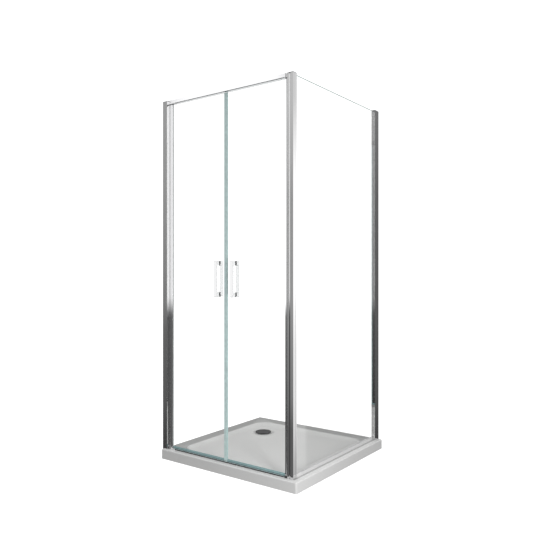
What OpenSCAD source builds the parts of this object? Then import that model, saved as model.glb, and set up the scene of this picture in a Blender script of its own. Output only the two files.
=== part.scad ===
// Corner shower enclosure: two glass pivot doors that swing both ways, a side panel and a square tray.
// Millimetres. Origin at the bottom centre of the tray, Z up, doors on the -Y side, side panel at +X.
// House walls stand at the -X and +Y edges of the tray.

/* [Tray] */
// length of each side of the square tray
tray_size = 900; // [760:10:1200]
// height of the tray's rim above the floor
tray_h = 52; // [45:1:90]
// radius of the tray's upright corners
tray_corner_r = 12; // [6:1:40]
// width of the flat rim between the outer edge and the basin
rim_w = 72; // [66:1:110]
// width of the concave cove round the basin floor
cove_w = 55; // [30:1:80]
// depth of the basin floor below the rim
basin_drop = 13; // [10:1:16]
// radius of the basin's upright corners at the rim
basin_r = 95; // [85:1:140]
// thickness of the tray's outer apron
apron_t = 8; // [5:0.5:14]
// thickness of the tray's skin over the ribs
skin_t = 7; // [5:0.5:9]
// thickness of the ribs under the tray
rib_t = 5; // [3:0.5:8]
// number of rib cells along each side, an even number
rib_cells = 6; // [4:2:8]

/* [Waste] */
// distance of the drain from the house wall at the -X edge
drain_from_left = 213; // [200:1:226]
// distance of the drain from the house wall at the +Y edge
drain_from_back = 243; // [230:1:256]
// diameter of the recess round the drain cover
recess_d = 124; // [116:1:130]
// depth of the recess round the drain cover
recess_drop = 4; // [3:0.5:6]
// radius of the shallow dish that leads water into the recess
dish_r = 85; // [75:1:100]
// fall of that dish
dish_drop = 3; // [1:0.5:4]
// diameter of the drain cover
cover_d = 98; // [90:1:108]
// thickness of the drain cover at its rim
cover_t = 3; // [2:0.5:5]
// outside diameter of the waste's threaded throat
throat_d = 60; // [56:1:70]
// bore of the waste's outlet
outlet_d = 44; // [38:1:46]
// height of the backnut under the tray
backnut_h = 11; // [8:1:13]

/* [Frame] */
// setback of the door frame from the tray's front edge
front_setback = 28; // [22:1:60]
// setback of the corner post from the tray's side edge
side_setback = 37; // [30:1:60]
// depth of the door frame from front to back
frame_depth = 29; // [27:0.5:40]
// height of the frame above the rim
frame_h = 1928; // [1700:1:2100]
// height of the header rail
header_h = 22; // [20:1:40]
// height of the threshold bar
threshold_h = 8; // [6:0.5:14]
// distance of the left door's pivot from the house wall
pivot_from_wall = 39; // [39:0.5:60]
// distance of the right door's pivot from the corner post's outer face
pivot_from_corner = 39.5; // [38:0.5:60]
// width of the corner post's front face
post_w = 16.4; // [15:0.2:30]
// wall thickness of the aluminium extrusions
wall_t = 1.8; // [1.4:0.1:2.4]
// thickness of the end caps
cap_t = 3; // [2:0.5:4]
// width of the wall profile beside the doors
wall_profile_w = 33; // [30:1:40]
// depth of the wall profile's front chamber
front_chamber = 15; // [10:0.5:20]
// drop of that wall profile's cap below the top of the frame
wall_profile_drop = 5; // [0:0.5:8]
// thickness of the plates that are screwed to the house walls
wall_plate_t = 3; // [2:0.5:5]
// diameter of the wall screw holes
wall_hole_d = 5; // [4:0.5:8]
// spacing of the outer pair of wall screw holes
wall_outer_pair = 1620; // [1200:10:1700]
// spacing of the inner pair of wall screw holes
wall_inner_pair = 540; // [300:10:800]
// depth of the step along the header's lower front edge
header_step = 1; // [0.5:0.1:1.4]
// height of that step
header_step_h = 2.6; // [2:0.2:6]

/* [Doors] */
// position of the line where the doors meet, from the tray's middle
meet_x = -14; // [-40:1:40]
// diameter of the round pivot stiles
stile_d = 16; // [15:0.5:20]
// reach of the stile's jaws from the pivot axis
jaw_reach = 13; // [12:0.5:20]
// thickness over the jaws
jaw_t = 11.2; // [10.6:0.1:11.6]
// diameter of the pivot pins
pin_d = 6; // [5:0.5:6]
// length of a pivot pin inside the stile
pin_grip = 30; // [20:1:60]
// radial clearance between a pivot pin and its bush
pin_play = 0.05; // [0.02:0.01:0.1]
// thickness of the door and panel glass
glass_t = 6; // [5:0.5:6.4]
// width of each magnetic seal
seal_w = 10; // [9:0.5:16]
// depth of the nose on the magnetic seal
seal_nose = 4.6; // [4.2:0.2:6]
// thickness of the magnetic seal's nose
nose_t = 10; // [9:0.2:11]
// gap between the two magnetic seals
meeting_gap = 0.6; // [0.4:0.1:2]
// height of the seal under each door
drip_h = 8; // [7:0.5:16]
// air gap between that seal and the threshold
drip_gap = 0.8; // [0.5:0.1:3]

/* [Handles] */
// height of the middle of the handles
handle_z = 996; // [800:1:1200]
// length of a handle's grip bar
handle_len = 187; // [140:1:300]
// width of a handle
handle_w = 20; // [14:1:28]
// thickness of a handle's grip bar
handle_bar_t = 7.5; // [5:0.5:10]
// height of the foot at each end of a handle
handle_foot_h = 24; // [14:1:30]
// distance of the handles from the line where the doors meet
handle_from_edge = 54.6; // [40:0.2:90]
// reach of the outer handle from the glass
outer_reach = 21.5; // [18:0.5:40]
// reach of the inner handle from the glass
inner_reach = 27; // [18:0.5:30]
// thickness of the washers under the outer handle
outer_washer_t = 1.5; // [1:0.5:3]
// thickness of the spacers under the inner handle
inner_washer_t = 6.5; // [1:0.5:8]
// diameter of the handle studs
stud_d = 5; // [4:0.5:6]
// diameter of the holes through the glass
glass_hole_d = 10; // [8:0.5:14]

/* [Side panel] */
// distance of the side glass's middle from the corner post's outer face
side_glass_inset = 13; // [12:0.5:16]
// height of the rail under the side glass
side_rail_h = 16; // [12:0.5:24]
// half width of the rail under the side glass
side_rail_half = 8; // [7:0.5:10]
// depth of the bead that holds the side glass at the house wall
bead_d = 15; // [13:0.5:20]
// depth of the wall profile beside the side glass
side_profile_d = 47.5; // [44:0.5:60]
// width of that wall profile's outer chamber
side_chamber = 13; // [10:0.5:16]
// drop of the side profiles' caps below the top of the frame
side_profile_drop = 7; // [0:0.5:12]
// distance from the top of the side glass to the top of the frame
side_glass_drop = 4.4; // [3.4:0.2:30]

/* [Hidden] */
$fn = 96;
eps = 0.01;
// clearance between pieces of the frame
fit = 0.2;
// clearance between moving and fixed pieces
gap = 0.3;
// play of a screw or pin in its hole
play = 0.05;

half = tray_size / 2;
inner_half = half - apron_t;
basin_half = half - rim_w;
floor_half = basin_half - cove_w;
floor_r = basin_r - cove_w;
cove_r = (pow(cove_w, 2) + pow(basin_drop, 2)) / (2 * basin_drop);
floor_z = tray_h - basin_drop;
rib_pitch = 2 * inner_half / rib_cells;
cell = rib_pitch - rib_t;
basin_cell_z = floor_z - skin_t;
rim_cell_z = tray_h - skin_t;

drain_x = drain_from_left - half;
drain_y = half - drain_from_back;
recess_r = recess_d / 2;
dish_z = floor_z - dish_drop;
recess_z = dish_z - recess_drop;
drain_under_z = recess_z - skin_t;
seat_gasket_t = 1.5;
under_gasket_t = 2;
flange_t = 2.5;
flange_margin = 20;
flange_r = recess_r - flange_margin;
flange_z = recess_z + seat_gasket_t;
flange_top = flange_z + flange_t;
throat_r = throat_d / 2;
cup_bore_r = throat_r - 4;
ledge_z = 14;
outlet_z = 1;
outlet_r = outlet_d / 2;
tail_r = outlet_r + 3;
tail_top = 8;
nut_top = drain_under_z - under_gasket_t;
nut_r = throat_r + 14;
wrench_gap = 6;
cover_z = flange_top + 3;
cup_r = cup_bore_r - 0.5;
cup_z = ledge_z;
cup_h = 20;
stem_r = 3;

front_y = -half + front_setback;
back_y = front_y + frame_depth;
door_y = (front_y + back_y) / 2;
half_depth = frame_depth / 2;
post_x = half - side_setback;
post_in_x = post_x - post_w;
side_x = post_x - side_glass_inset;
frame_top = tray_h + frame_h;
profile_top = frame_top - cap_t;
header_z = frame_top - header_h;
profile_mid_z = (tray_h + profile_top) / 2;

left_x = -half + pivot_from_wall;
right_x = post_x - pivot_from_corner;
left_reach = meet_x - left_x;
right_reach = right_x - meet_x;

stile_r = stile_d / 2;
seat_r = stile_r + 2 * gap;
block_r = stile_r + gap;
tip = jaw_t / 2 + gap;
gasket_t = 1;
slot_half = glass_t / 2 + gasket_t;
pin_r = pin_d / 2;
bush_r = pin_r + 2;
bush_flange_r = pin_r + 5;
bush_flange_t = 0.8;
bush_len = 7;
slot_x = pin_r + pin_play + 1.45;
glass_x = slot_x + 1.5;
leaf_z = tray_h + threshold_h + bush_flange_t + gap;
leaf_top = header_z - bush_flange_t - gap;
stile_cap_t = 1.2;
drip_z = tray_h + threshold_h + drip_gap;
glass_z = drip_z + 2.7;
glass_top = leaf_top - 2;
lip_half = glass_t / 2 + 1.4;
magnet_half = nose_t / 2 - 1;
half_w = handle_w / 2;
half_foot = handle_foot_h / 2;
foot_z = handle_len / 2 - half_foot;
stud_r = stud_d / 2;

// room behind the jamb and the adjusting profile, to take up a wall that is out of plumb
jamb_space = 10;
wall_space = 8;
back_wall = 2;
chamber_y = front_y - fit - front_chamber;
wall_profile_x = -half + wall_profile_w;
jamb_back_x = -half + jamb_space;
post_back_y = back_y + back_wall;
jamb_screw_x = wall_profile_x - 12;

// start of the drip seal along the leaf, past the frame's back edge when the leaf stands open
drip_x = max(jaw_reach, half_depth + back_wall) + 0.7;

// recess between the right jamb and the corner post, and the key that locks the two
post_gap = 2.4;
step_w = 5.2;
step_d = 5;
key_y = 9;
key_t = 3;
key_neck = 4.6;
key_head_t = 2.8;
key_head_w = 7;
jamb_post_x = post_in_x - post_gap;
post_lip_x = jamb_post_x + fit;

// groove for the side glass in the corner post and in the adjusting profile
post_chamber_d = 18;
groove_y = front_y + post_chamber_d;
side_glass_y = groove_y + 1.8;
wall_side_y = half - side_profile_d;
adjust_back_y = half - wall_space;
bead_y = adjust_back_y - bead_d;
groove_end_y = adjust_back_y - 2;
side_glass_back = groove_end_y - 2.8;
side_wall_x = post_x + fit + side_chamber;
adjust_t = 22;
adjust_x = post_x - adjust_t;
side_screw_y = (bead_y + adjust_back_y) / 2;
limb_x = adjust_x - fit - wall_t;
side_top = frame_top - side_profile_drop;
side_bar_top = side_top - cap_t;
rail_floor_z = tray_h + 2;
side_glass_z = rail_floor_z + 2.5;
side_glass_top = frame_top - side_glass_drop;
slot_low = side_x - slot_half;
slot_high = side_x + slot_half;
inner_x = post_x - wall_t;

// screws: head, thread and the hole that the thread cuts into
screw_r = 1.9;
screw_core_r = 1.6;
screw_head_r = 3.5;
screw_head_t = 2;
screw_grip = 7;
jamb_screw_z = [for (share = [0.1, 0.5, 0.9]) tray_h + share * frame_h];
header_screw_x = [24, 38];
screw_seat_z = frame_top - screw_head_t + 0.2;

// stations along a leaf of a given reach, from its pivot axis
function glass_end(reach) = reach - meeting_gap / 2 - seal_nose;
function seal_start(reach) = reach - meeting_gap / 2 - seal_w;
function handle_at(reach) = reach - handle_from_edge;

chrome = [0.78, 0.79, 0.80];
clear_glass = [0.85, 0.93, 0.92, 0.35];
soft_seal = [0.66, 0.76, 0.75, 0.8];
white_tray = [0.88, 0.88, 0.87];
dark_nylon = [0.16, 0.16, 0.17];
dark_chrome = [0.45, 0.45, 0.46];
steel = [0.62, 0.63, 0.64];

// Shared shapes.

module round_square(h, r) {
    square([2 * h - 2 * r, 2 * h], center = true);
    square([2 * h, 2 * h - 2 * r], center = true);
    for (sx = [-1, 1], sy = [-1, 1]) {
        translate([sx * (h - r), sy * (h - r)]) circle(r);
    }
}

module box_at(x0, x1, y0, y1, z0, z1) {
    translate([x0, y0, z0]) cube([x1 - x0, y1 - y0, z1 - z0]);
}

module ring(r_out, r_in, h) {
    difference() {
        cylinder(r = r_out, h = h);
        translate([0, 0, -1]) cylinder(r = r_in, h = h + 2);
    }
}

module at_drain(z) {
    translate([drain_x, drain_y, z]) children();
}

module at_left() {
    translate([left_x, door_y, 0]) children();
}

module at_right() {
    translate([right_x, door_y, 0]) mirror([1, 0, 0]) children();
}

// Tray: moulded skin on a grid of ribs, concave cove round the floor, dish and recess at the drain.
module cove_profile() {
    intersection() {
        translate([-1, 0]) square([cove_w + 1, basin_drop + 1]);
        union() {
            translate([0, cove_r]) circle(cove_r, $fn = 180);
            translate([-1, 0]) square([1.5, basin_drop + 1]);
        }
    }
}

module basin_cut() {
    straight = 2 * (basin_half - basin_r);
    translate([0, 0, floor_z]) {
        linear_extrude(basin_drop + 1) round_square(floor_half, floor_r);
        for (turn = [0, 90, 180, 270]) {
            rotate([0, 0, turn]) {
                translate([floor_half, straight / 2, 0]) rotate([90, 0, 0])
                    linear_extrude(straight) cove_profile();
                translate([straight / 2, straight / 2, 0]) rotate_extrude(angle = 90)
                    translate([floor_r, 0]) cove_profile();
            }
        }
    }
}

module rib_cell(x, y, top) {
    translate([x, y, -1]) cube([cell, cell, top + 1]);
}

module rib_cells_cut() {
    for (i = [0 : rib_cells - 1], j = [0 : rib_cells - 1]) {
        x = -inner_half + i * rib_pitch + rib_t / 2;
        y = -inner_half + j * rib_pitch + rib_t / 2;
        rib_cell(x, y, basin_cell_z);
        intersection() {
            rib_cell(x, y, rim_cell_z);
            difference() {
                box_at(-half, half, -half, half, -1, tray_h);
                box_at(-basin_half, basin_half, -basin_half, basin_half, -2, tray_h + 1);
            }
        }
    }
}

module tray() {
    color(white_tray) difference() {
        linear_extrude(tray_h) round_square(half, tray_corner_r);
        basin_cut();
        difference() {
            rib_cells_cut();
            at_drain(drain_under_z) cylinder(r = recess_r + skin_t, h = tray_h);
        }
        at_drain(dish_z) cylinder(r1 = recess_r, r2 = dish_r, h = dish_drop);
        at_drain(recess_z) cylinder(r = recess_r, h = tray_h);
        at_drain(-1) cylinder(r = throat_r + 1, h = tray_h);
        at_drain(-1) cylinder(r = nut_r + wrench_gap, h = drain_under_z + 1);
    }
}

// Waste: threaded body with a flange in the recess, backnut under the tray, cup and cover on top.
module waste_body() {
    color(steel) at_drain(0) difference() {
        union() {
            translate([0, 0, flange_z]) cylinder(r = flange_r, h = flange_t);
            translate([0, 0, tail_top]) cylinder(r = throat_r, h = flange_z + 1 - tail_top);
            translate([0, 0, outlet_z]) cylinder(r = tail_r, h = tray_h / 4);
        }
        translate([0, 0, ledge_z]) cylinder(r = cup_bore_r, h = tray_h);
        cylinder(r = outlet_r, h = tray_h);
    }
}

module waste_gaskets() {
    color(dark_nylon) {
        at_drain(recess_z) ring(flange_r, throat_r + gap, seat_gasket_t);
        at_drain(nut_top) ring(nut_r, throat_r + gap, under_gasket_t);
    }
}

module waste_nut() {
    lug_l = nut_r - throat_r - 6.5;
    color(dark_nylon) at_drain(nut_top - backnut_h) {
        ring(nut_r, throat_r + gap, 4);
        ring(throat_r + 8, throat_r + gap, backnut_h);
        for (a = [0 : 45 : 315]) {
            rotate([0, 0, a]) translate([throat_r + 6, -2, 0]) cube([lug_l, 4, backnut_h]);
        }
    }
}

module waste_cup() {
    color(steel) at_drain(cup_z) difference() {
        union() {
            ring(cup_r, cup_r - 1.5, cup_h);
            cylinder(r = cup_r, h = 2);
            cylinder(r = stem_r + 3, h = 12);
        }
        translate([0, 0, -1]) cylinder(r = stem_r + play, h = cup_h);
        for (a = [0 : 45 : 315]) {
            rotate([0, 0, a]) translate([cup_r - 9, 0, -1]) cylinder(r = 4, h = 4);
        }
    }
}

module waste_cover() {
    cover_r = cover_d / 2;
    dome_r = 400;
    dome_z = cover_t - sqrt(pow(dome_r, 2) - pow(cover_r, 2));
    foot_h = cover_z - flange_top;
    stem_z = cup_z + 4 - cover_z;
    color(dark_chrome) at_drain(cover_z) {
        cylinder(r = cover_r, h = cover_t);
        intersection() {
            cylinder(r = cover_r, h = tray_h);
            translate([0, 0, dome_z]) sphere(dome_r, $fn = 180);
        }
        translate([0, 0, stem_z]) cylinder(r = stem_r, h = 0.5 - stem_z);
        for (a = [45 : 90 : 315]) {
            rotate([0, 0, a]) translate([flange_r - 6, 0, -foot_h]) cylinder(r = 3, h = foot_h + 1);
        }
    }
}

// Wall profile of the doors: plate on the wall, hollow front chamber and a channel for the jamb.
module wall_profile_door() {
    top = profile_top - wall_profile_drop;
    color(chrome) difference() {
        union() {
            box_at(-half, wall_profile_x, chamber_y, front_y - fit, tray_h, top);
            box_at(-half, -half + wall_plate_t, chamber_y, post_back_y, tray_h, top);
            box_at(-half, wall_profile_x, back_y + fit, post_back_y, tray_h, top);
        }
        box_at(-half + wall_plate_t, wall_profile_x - wall_t, chamber_y + wall_t, front_y - fit - wall_t,
               tray_h - 1, top + 1);
        for (s = [-1, 1], pair = [wall_inner_pair, wall_outer_pair]) {
            translate([-half - 1, door_y, profile_mid_z + s * pair / 2]) rotate([0, 90, 0])
                cylinder(d = wall_hole_d, h = wall_plate_t + 2);
        }
        for (z = jamb_screw_z) {
            translate([jamb_screw_x, back_y, z]) rotate([-90, 0, 0]) cylinder(r = screw_r + play, h = 5);
        }
    }
}

// Jamb section: hollow box with a concave seat for the round stile, drawn with the pivot at the origin.
module jamb_section(back_x) {
    length = -tip - back_x;
    difference() {
        translate([back_x, -half_depth]) square([length, frame_depth]);
        circle(seat_r);
        difference() {
            translate([back_x + wall_t, -half_depth + wall_t]) square([length, frame_depth - 2 * wall_t]);
            circle(seat_r + wall_t);
            translate([-tip - 4, -half_depth]) square([8, frame_depth]);
        }
    }
}

module jamb_left() {
    color(chrome) difference() {
        at_left() translate([0, 0, tray_h]) linear_extrude(profile_top - tray_h)
            jamb_section(jamb_back_x - left_x);
        for (z = jamb_screw_z) {
            translate([jamb_screw_x, back_y - wall_t - 1, z]) rotate([-90, 0, 0])
                cylinder(r = screw_core_r + play, h = wall_t + 2);
        }
    }
}

module jamb_right() {
    neck_x = right_x - jamb_post_x;
    color(chrome) at_right() translate([0, 0, tray_h]) linear_extrude(profile_top - tray_h) {
        difference() {
            jamb_section(neck_x);
            translate([neck_x - 1, -half_depth - 1]) square([step_w + 1, step_d + 1]);
            translate([neck_x + wall_t, -half_depth + wall_t]) square([step_w - 0.8, step_d + 1]);
        }
        translate([neck_x, -half_depth + step_d]) square([step_w + wall_t, wall_t]);
        translate([neck_x + step_w, -half_depth]) square([wall_t, step_d + wall_t]);
        translate([neck_x - key_neck, -half_depth + key_y]) square([key_neck + 0.4, key_t]);
        translate([neck_x - key_neck - key_head_t, -half_depth + key_y + (key_t - key_head_w) / 2])
            square([key_head_t, key_head_w]);
    }
}

// Corner post: hollow front chamber with a keyway for the right jamb and a groove for the side glass.
module corner_post() {
    lip_w = post_x - post_lip_x;
    color(chrome) translate([0, 0, tray_h]) linear_extrude(profile_top - tray_h) difference() {
        union() {
            translate([post_in_x, front_y]) square([post_w, post_chamber_d]);
            translate([post_lip_x, groove_y - wall_t]) square([lip_w, post_back_y - groove_y + wall_t]);
        }
        translate([post_in_x + wall_t, front_y + wall_t])
            square([post_w - 2 * wall_t, post_chamber_d - 2 * wall_t]);
        translate([post_in_x - 1, front_y + key_y - fit]) square([wall_t + 2, key_t + 2 * fit]);
        translate([slot_low, groove_y]) square([2 * slot_half, frame_depth]);
        translate([slot_high + wall_t, groove_y + wall_t])
            square([inner_x - slot_high - wall_t, post_back_y - groove_y - 2 * wall_t]);
        translate([post_x - 0.8, groove_y - 0.6]) square([1, 1.2]);
    }
}

module at_header_screws() {
    for (dx = header_screw_x) {
        translate([left_x + dx, door_y, 0]) children();
        translate([right_x - dx, door_y, 0]) children();
    }
}

// Header: hollow rail with a step along its lower front edge, notched round the top pivot blocks.
module header() {
    x0 = left_x - tip + gap;
    x1 = right_x - tip;
    color(chrome) difference() {
        box_at(x0, x1, front_y, back_y, header_z, frame_top);
        box_at(x0 - 1, x1 + 1, front_y + 2.4, back_y - 2.4, header_z + wall_t, frame_top - 3);
        box_at(x0 - 1, x1 + 1, front_y - 1, front_y + header_step,
               header_z - 1, header_z + header_step_h);
        for (x = [left_x, right_x]) {
            translate([x, door_y, header_z - 1]) cylinder(r = seat_r, h = header_h + 2);
        }
        at_header_screws() {
            translate([0, 0, header_z]) cylinder(r = screw_r + play, h = header_h + 1);
            translate([0, 0, screw_seat_z]) cylinder(r = screw_head_r + gap, h = 4);
        }
    }
}

module header_screws() {
    color(steel) at_header_screws() {
        translate([0, 0, screw_seat_z]) cylinder(r = screw_head_r, h = screw_head_t - 0.4);
        translate([0, 0, screw_seat_z - 12]) cylinder(r = screw_core_r, h = 12.2);
    }
}

// Pivot blocks: round ends nested in the jambs' seats, tongues in the header and in the threshold.
module top_block() {
    color(dark_chrome) difference() {
        union() {
            translate([0, 0, header_z]) cylinder(r = block_r, h = header_h);
            box_at(0, 46, -9, 9, header_z + wall_t + fit, frame_top - 3 - fit);
        }
        translate([0, 0, header_z - 1]) cylinder(r = bush_r + play, h = bush_len + 1.2);
        for (dx = header_screw_x) {
            translate([dx, 0, screw_seat_z - 14]) cylinder(r = screw_core_r + play, h = 20);
        }
    }
}

module bottom_block() {
    color(dark_chrome) difference() {
        union() {
            translate([0, 0, tray_h]) cylinder(r = block_r, h = threshold_h);
            box_at(0, 40, -8, 8, tray_h, tray_h + threshold_h - wall_t - fit);
        }
        translate([0, 0, tray_h + 1]) cylinder(r = bush_r + play, h = threshold_h);
    }
}

module threshold() {
    x0 = left_x + block_r + gap;
    x1 = right_x - block_r - gap;
    color(chrome) difference() {
        box_at(x0, x1, front_y, back_y, tray_h, tray_h + threshold_h);
        box_at(x0 - 1, x1 + 1, front_y + wall_t, back_y - wall_t,
               tray_h - 1, tray_h + threshold_h - wall_t);
    }
}

module bush(length) {
    difference() {
        union() {
            translate([0, 0, -length]) cylinder(r = bush_r, h = length);
            cylinder(r = bush_flange_r, h = bush_flange_t);
        }
        translate([0, 0, -length - 1]) cylinder(r = pin_r + pin_play, h = length + 4);
    }
}

module pivot_bushes() {
    color(dark_nylon) for (x = [left_x, right_x]) {
        translate([x, door_y, tray_h + threshold_h]) bush(threshold_h - 1);
        translate([x, door_y, header_z]) mirror([0, 0, 1]) bush(bush_len);
    }
}

module pan_screw() {
    translate([0, 0, -screw_head_t]) cylinder(r = screw_head_r, h = screw_head_t);
    translate([0, 0, -0.5]) cylinder(r = screw_core_r, h = screw_grip);
}

module jamb_screws() {
    color(steel) for (z = jamb_screw_z) {
        translate([jamb_screw_x, post_back_y, z]) rotate([90, 0, 0]) pan_screw();
    }
}

// Adjusting profile: a long outer limb that shows, a short bead inside and the groove between them.
module adjusting_outline() {
    difference() {
        union() {
            translate([slot_high, wall_side_y]) square([post_x - slot_high, adjust_back_y - wall_side_y]);
            translate([adjust_x, bead_y]) square([slot_high + 1 - adjust_x, bead_d]);
        }
        translate([slot_low, bead_y - 1]) square([2 * slot_half, groove_end_y - bead_y + 1]);
    }
}

// End caps of the upright profiles.
module wall_cap_door() {
    z = profile_top - wall_profile_drop;
    color(dark_chrome) difference() {
        box_at(-half, wall_profile_x, chamber_y, front_y - fit, z, z + cap_t);
        translate([-half - 1, chamber_y - 1, z + cap_t - 0.8]) cube([wall_profile_w + 2, 1.8, 1]);
    }
    color(dark_chrome) {
        box_at(-half, jamb_back_x - fit, front_y - fit - eps, post_back_y, z, z + cap_t);
        box_at(-half + wall_plate_t + fit, wall_profile_x - wall_t - fit, chamber_y + wall_t + fit,
               front_y - 2 * fit - wall_t, z - 12, z + 1);
    }
}

module jamb_cap() {
    color(dark_chrome) at_left() translate([0, 0, profile_top]) linear_extrude(cap_t) difference() {
        translate([jamb_back_x - left_x, -half_depth]) square([-tip - jamb_back_x + left_x, frame_depth]);
        circle(seat_r);
    }
}

module corner_cap() {
    color(dark_chrome) translate([0, 0, profile_top]) linear_extrude(cap_t) difference() {
        union() {
            translate([right_x + tip, front_y]) square([post_x - right_x - tip, frame_depth]);
            translate([post_lip_x, front_y]) square([post_x - post_lip_x, post_back_y - front_y]);
        }
        translate([right_x, door_y]) circle(seat_r);
    }
}

module side_cap() {
    color(dark_chrome) translate([0, 0, side_bar_top]) linear_extrude(cap_t) adjusting_outline();
}

module wall_cap_side() {
    color(dark_chrome) {
        box_at(post_x + fit, side_wall_x, wall_side_y, half, side_bar_top, side_top);
        box_at(limb_x, post_x + fit + eps, adjust_back_y + fit, half, side_bar_top, side_top);
        box_at(post_x + 2 * fit + wall_t, side_wall_x - wall_t - fit, wall_side_y + wall_t + fit,
               half - wall_plate_t - fit, side_bar_top - 12, side_bar_top + 1);
    }
}

// Side panel: glass in the corner post's groove, the bottom rail and an adjusting profile at the wall.
module side_glass() {
    color(clear_glass) box_at(side_x - glass_t / 2, side_x + glass_t / 2, side_glass_y, side_glass_back,
                              side_glass_z, side_glass_top);
}

module u_strip(depth, arm) {
    difference() {
        square([2 * (slot_half - eps), depth + arm]);
        translate([gasket_t - eps, depth]) square([glass_t, arm + 1]);
    }
}

module side_glass_gaskets() {
    x0 = slot_low + eps;
    arm = 8;
    rail_y0 = post_back_y + 1;
    rail_y1 = wall_side_y - 1;
    color(dark_nylon) {
        translate([x0, groove_y + eps, side_glass_z]) linear_extrude(side_glass_top - side_glass_z)
            u_strip(side_glass_y - groove_y - eps, arm);
        translate([x0, groove_end_y - eps, side_glass_z]) mirror([0, 1, 0])
            linear_extrude(side_bar_top - side_glass_z) u_strip(groove_end_y - side_glass_back - eps, arm);
        translate([x0, rail_y1, rail_floor_z + eps]) rotate([90, 0, 0]) linear_extrude(rail_y1 - rail_y0)
            u_strip(side_glass_z - rail_floor_z - eps, arm);
    }
}

module side_bottom_rail() {
    z1 = tray_h + side_rail_h;
    low = side_x - side_rail_half;
    high = side_x + side_rail_half;
    color(chrome) difference() {
        box_at(low, high, post_back_y + fit, wall_side_y - fit, tray_h, z1);
        box_at(slot_low, slot_high, post_back_y, wall_side_y, rail_floor_z, z1 + 1);
        for (x = [low, high]) {
            translate([x - 0.5, post_back_y, tray_h + 4.5]) cube([1, wall_side_y - post_back_y, 1]);
        }
    }
}

module side_profile() {
    hollow_y = wall_side_y + wall_t;
    color(chrome) difference() {
        translate([0, 0, tray_h]) linear_extrude(side_bar_top - tray_h) difference() {
            adjusting_outline();
            translate([slot_high + wall_t, hollow_y])
                square([inner_x - slot_high - wall_t, groove_end_y - hollow_y]);
        }
        for (z = jamb_screw_z) {
            translate([adjust_x - 1, side_screw_y, z]) rotate([0, 90, 0])
                cylinder(r = screw_core_r + play, h = slot_low - adjust_x + 2);
        }
    }
}

module wall_profile_side() {
    color(chrome) difference() {
        union() {
            box_at(limb_x, side_wall_x, half - wall_plate_t, half, tray_h, side_bar_top);
            box_at(post_x + fit, side_wall_x, wall_side_y, half, tray_h, side_bar_top);
            box_at(limb_x, limb_x + wall_t, bead_y + 2, half, tray_h, side_bar_top);
        }
        box_at(post_x + fit + wall_t, side_wall_x - wall_t, wall_side_y + wall_t, half - wall_plate_t,
               tray_h - 1, side_bar_top + 1);
        for (s = [-1, 1], pair = [wall_inner_pair, wall_outer_pair]) {
            translate([side_x, half + 1, profile_mid_z + s * pair / 2]) rotate([90, 0, 0])
                cylinder(d = wall_hole_d, h = wall_plate_t + 2);
        }
        for (z = jamb_screw_z) {
            translate([limb_x - 1, side_screw_y, z]) rotate([0, 90, 0])
                cylinder(r = screw_r + play, h = wall_t + 2);
        }
    }
}

module side_profile_screws() {
    color(steel) for (z = jamb_screw_z) {
        translate([limb_x, side_screw_y, z]) rotate([0, 90, 0]) pan_screw();
    }
}

// Door leaf, drawn with the pivot axis at the origin and the glass running along +X.
module glass(reach) {
    color(clear_glass) difference() {
        box_at(glass_x, glass_end(reach), -glass_t / 2, glass_t / 2, glass_z, glass_top);
        for (s = [-1, 1]) {
            translate([handle_at(reach), 0, handle_z + s * foot_z]) rotate([90, 0, 0])
                cylinder(d = glass_hole_d, h = glass_t + 2, center = true);
        }
    }
}

module stile_section() {
    difference() {
        union() {
            circle(stile_r);
            translate([0, -jaw_t / 2]) square([jaw_reach, jaw_t]);
        }
        circle(pin_r + pin_play);
        translate([slot_x, -slot_half]) square([jaw_reach, 2 * slot_half]);
    }
}

module pivot_profile() {
    z0 = leaf_z + stile_cap_t;
    color(chrome) translate([0, 0, z0]) linear_extrude(leaf_top - stile_cap_t - z0) stile_section();
}

module profile_caps() {
    color(dark_chrome) for (z = [leaf_z, leaf_top - stile_cap_t]) {
        translate([0, 0, z]) linear_extrude(stile_cap_t) difference() {
            union() {
                circle(stile_r);
                translate([0, -jaw_t / 2]) square([jaw_reach, jaw_t]);
            }
            circle(pin_r + pin_play);
        }
    }
}

module pivot_pins() {
    low = tray_h + 1.4;
    high = header_z + bush_len - 0.4;
    color(steel) {
        translate([0, 0, low]) cylinder(r = pin_r, h = leaf_z + pin_grip - low);
        translate([0, 0, leaf_top - pin_grip]) cylinder(r = pin_r, h = high - leaf_top + pin_grip);
    }
}

module glass_gasket() {
    color(dark_nylon) translate([0, 0, glass_z]) linear_extrude(glass_top - glass_z) difference() {
        translate([slot_x + eps, -slot_half + eps])
            square([jaw_reach + 0.5 - slot_x, 2 * (slot_half - eps)]);
        translate([glass_x - eps, -glass_t / 2]) square([jaw_reach, glass_t]);
    }
}

// Drip seal: clip under the glass, hollow bulb and a lip that throws water inwards.
module bottom_seal(reach) {
    length = seal_start(reach) - fit - drip_x;
    color(soft_seal) translate([drip_x, 0, drip_z]) rotate([90, 0, 90]) linear_extrude(length) difference() {
        union() {
            translate([-lip_half, 0]) square([2 * lip_half, drip_h]);
            translate([lip_half - 0.5, 0.4]) rotate(-4) square([3.5, 0.9]);
        }
        translate([-glass_t / 2, glass_z - drip_z - eps]) square([glass_t, drip_h]);
        translate([-lip_half + 1, 0.8]) square([2 * lip_half - 2, glass_z - drip_z - 1.8]);
    }
}

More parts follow.
